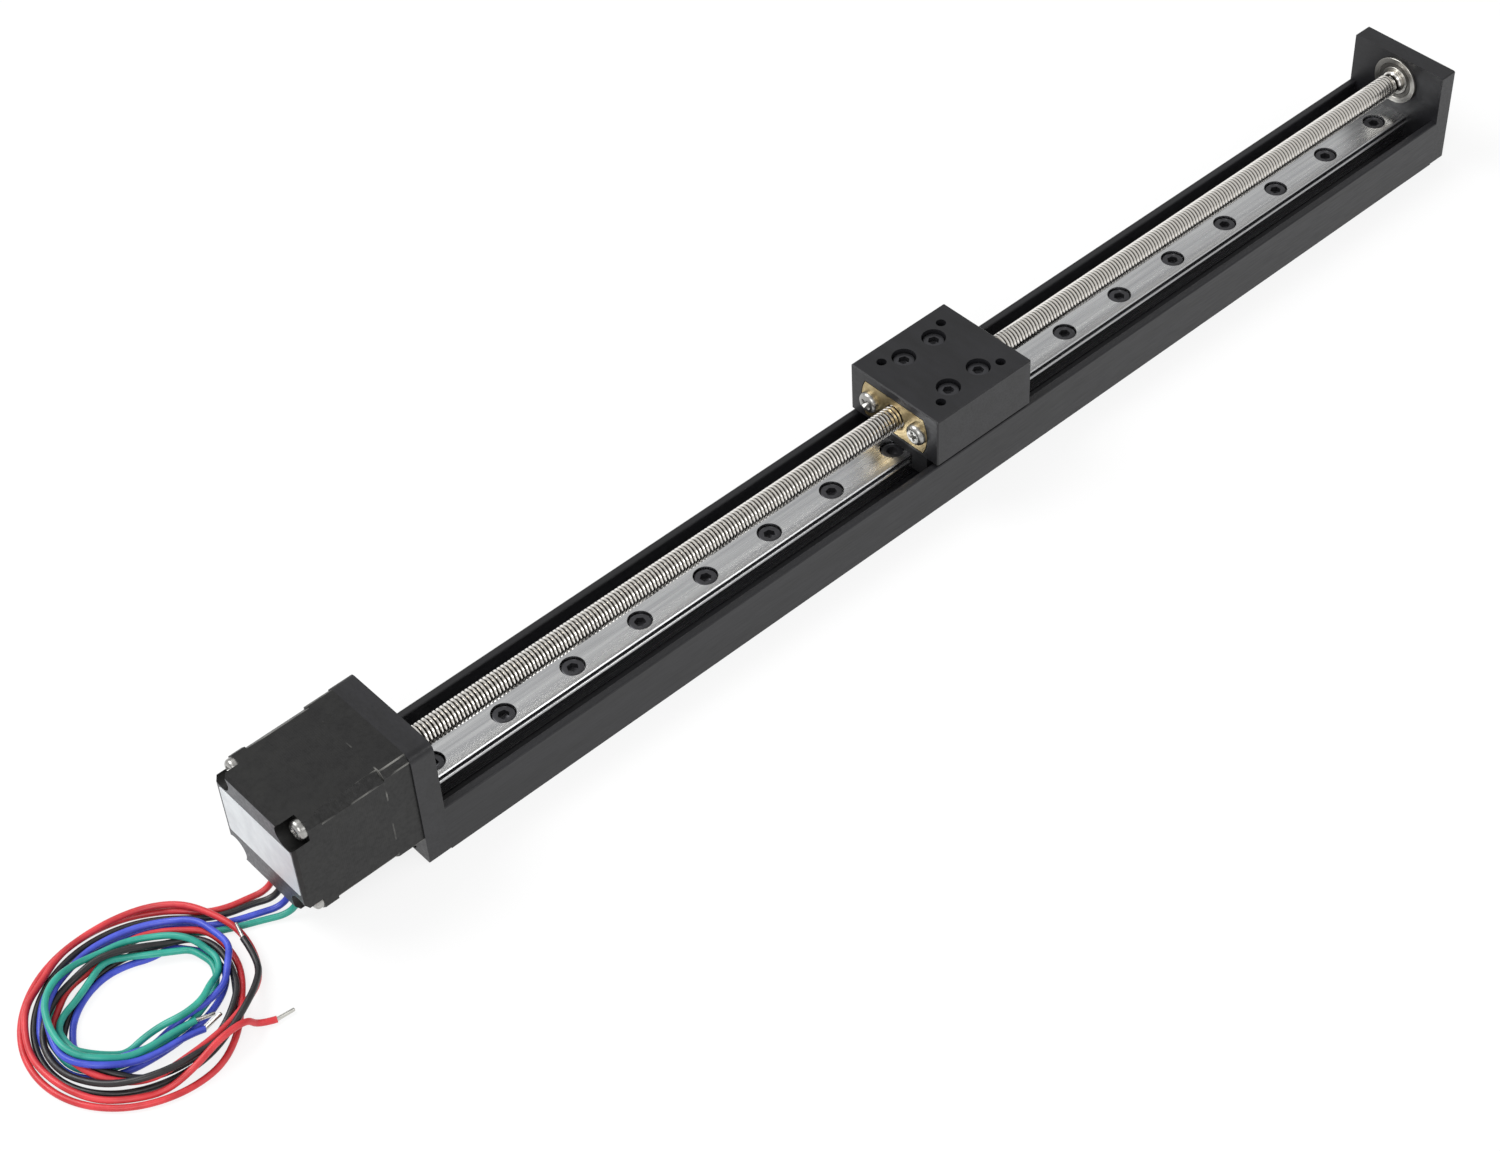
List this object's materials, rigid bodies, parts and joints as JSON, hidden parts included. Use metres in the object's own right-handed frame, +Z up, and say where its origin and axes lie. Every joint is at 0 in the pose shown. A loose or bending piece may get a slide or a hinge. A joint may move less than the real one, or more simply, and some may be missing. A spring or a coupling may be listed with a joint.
{
  "type": "lead screw linear slide",
  "caption": "Motor-driven lead screw slide: a carriage on a profile rail inside a U channel, moved by a stepper motor through a brass flange nut.",
  "frame": {"origin": "on the surface that the slide stands on, under the middle of its length without the wires", "axes": "+X along the rail from the motor to the far end plate, +Y across, +Z up"},
  "size_m": [0.4385, 0.049, 0.0347],
  "materials": {
    "black_anodised": "black anodised, satin",
    "ground_steel": "ground, bright",
    "black_screws": "black oxide",
    "zinc_screws": "zinc plated",
    "bearing_steel": "polished",
    "motor_bell": "black, cast and coated",
    "lamination_steel": "stacked laminations, dark",
    "magnet": "plain",
    "winding": "enamelled copper wire",
    "screw_steel": "rolled thread, bright",
    "nut_brass": "turned",
    "cap_plastic": "moulded",
    "seal_rubber": "matt",
    "grommet_rubber": "matt",
    "wire_red": "soft insulation, slightly shiny",
    "wire_black": "soft insulation, slightly shiny",
    "wire_blue": "soft insulation, slightly shiny",
    "wire_green": "soft insulation, slightly shiny"
  },
  "bodies": {
    "base": {"base_channel": "black_anodised", "motor_plate": "black_anodised", "end_plate": "black_anodised", "linear_rail": "ground_steel", "rail_screws": "black_screws", "motor_plate_screws": "black_screws", "end_plate_screws": "black_screws", "motor_mount_screws": "black_screws", "motor_through_screws": "zinc_screws", "end_bearing_outer_ring": "bearing_steel", "end_bearing_shields": "bearing_steel", "front_bearing_outer_ring": "bearing_steel", "front_bearing_shields": "bearing_steel", "rear_bearing_outer_ring": "bearing_steel", "rear_bearing_shields": "bearing_steel", "rear_preload_washer": "bearing_steel", "motor_front_bell": "motor_bell", "motor_rear_bell": "motor_bell", "motor_stator": "lamination_steel", "motor_coils": "winding", "wire_grommet": "grommet_rubber", "wire_red": "wire_red", "wire_black": "wire_black", "wire_blue": "wire_blue", "wire_green": "wire_green", "wire_coil": "wire_black"},
    "screw": {"lead_screw": "screw_steel", "rotor_stack_front": "lamination_steel", "rotor_stack_rear": "lamination_steel", "rotor_magnet": "magnet", "front_bearing_inner_ring": "bearing_steel", "rear_bearing_inner_ring": "bearing_steel", "end_bearing_inner_ring": "bearing_steel"},
    "carriage": {"carriage_block": "black_anodised", "carriage_cap_screws": "black_screws", "lead_nut": "nut_brass", "nut_screws": "zinc_screws", "rail_block": "ground_steel", "block_end_caps": "cap_plastic", "block_end_seals": "seal_rubber"}
  },
  "joints": [
    {"name": "screw_spin", "type": "hinge", "parent": "base", "child": "screw", "pos_m": [-0.1517, 0, 0.0206], "axis": [1, 0, 0], "range_deg": [-55440, 52560]},
    {"name": "carriage_slide", "type": "slide", "parent": "base", "child": "carriage", "axis": [1, 0, 0], "range_m": [-0.146, 0.154]}
  ],
  "couplings": [
    {"joint": "screw_spin", "follows": "carriage_slide", "rad_per_m": -6283.2}
  ]
}
